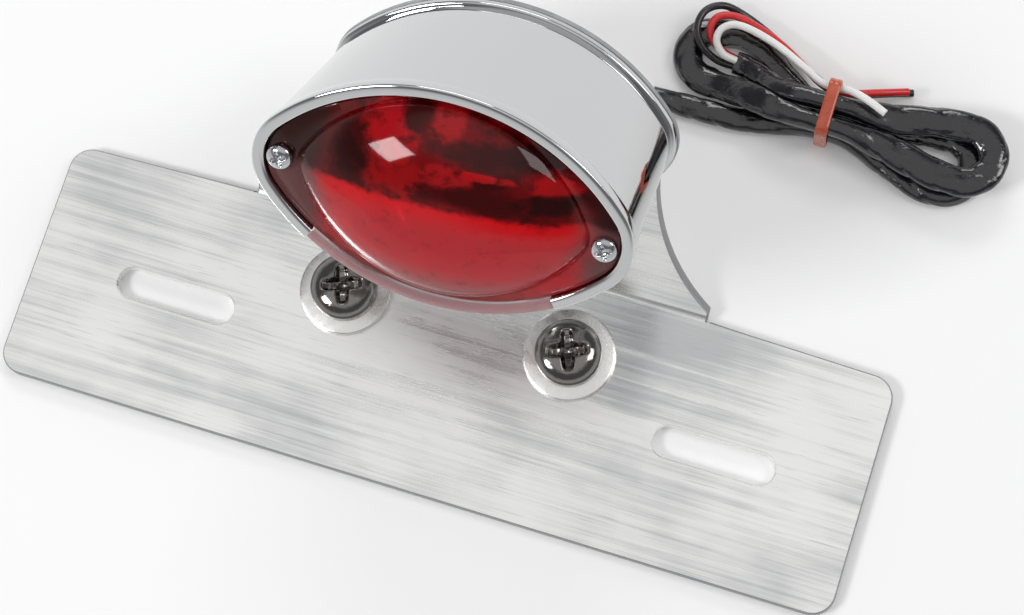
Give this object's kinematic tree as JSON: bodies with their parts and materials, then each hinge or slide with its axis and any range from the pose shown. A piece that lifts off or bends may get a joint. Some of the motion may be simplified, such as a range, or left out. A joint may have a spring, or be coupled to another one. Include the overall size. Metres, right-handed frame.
{
  "type": "motorcycle tail light on a number plate bracket",
  "caption": "Chromed cat-eye tail and brake lamp with a bulging red lens, on the angled neck of a flat aluminium number plate bracket, with its wiring folded in a tied hank.",
  "frame": {"origin": "on the plate's back, midway between the two fender screws", "axes": "+X along the plate, +Y up the plate towards the lamp, +Z out of the plate's face"},
  "size_m": [0.2134, 0.1331, 0.0866],
  "materials": {
    "brushed_aluminium": "brushed along its length, softly polished",
    "dark_chrome": "polished",
    "bright_washer": "bright, fine scratches",
    "black_rubber": "matt",
    "chrome_shell": "mirror chrome",
    "red_lens_plastic": "clear deep red, glossy",
    "clear_plastic": "clear, glossy",
    "bright_screw": "polished",
    "mirror_bowl": "mirror",
    "bulb_glass": "clear",
    "support_wire": "plain",
    "base_brass": "satin",
    "solder": "dull",
    "plated_socket": "zinc plated",
    "brown_insulator": "matt",
    "zinc_steel": "zinc plated",
    "red_insulation": "soft, glossy",
    "white_insulation": "soft, glossy",
    "black_insulation": "soft, glossy",
    "black_sleeve": "soft, glossy",
    "orange_tie": "soft, glossy"
  },
  "bodies": {
    "root": {"mounting_bracket": "brushed_aluminium", "fender_screws": "dark_chrome", "fender_washers": "bright_washer", "base_gasket": "black_rubber", "lamp_housing": "chrome_shell", "lens_gasket": "black_rubber", "red_lens": "red_lens_plastic", "plate_window": "clear_plastic", "lens_screws": "bright_screw", "reflector": "mirror_bowl", "bulb_glass": "bulb_glass", "bulb_filaments": "support_wire", "bulb_base": "base_brass", "bulb_contacts": "solder", "socket_shell": "plated_socket", "contact_disc": "brown_insulator", "contact_spring": "support_wire", "contact_pins": "base_brass", "mounting_studs": "zinc_steel", "stud_washers": "zinc_steel", "stud_lock_washers": "zinc_steel", "stud_nuts": "zinc_steel", "wire_grommet": "black_rubber", "red_wire": "red_insulation", "white_wire": "white_insulation", "black_wire": "black_insulation", "wiring_sleeve": "black_sleeve", "hank_tie": "orange_tie"}
  },
  "joints": []
}
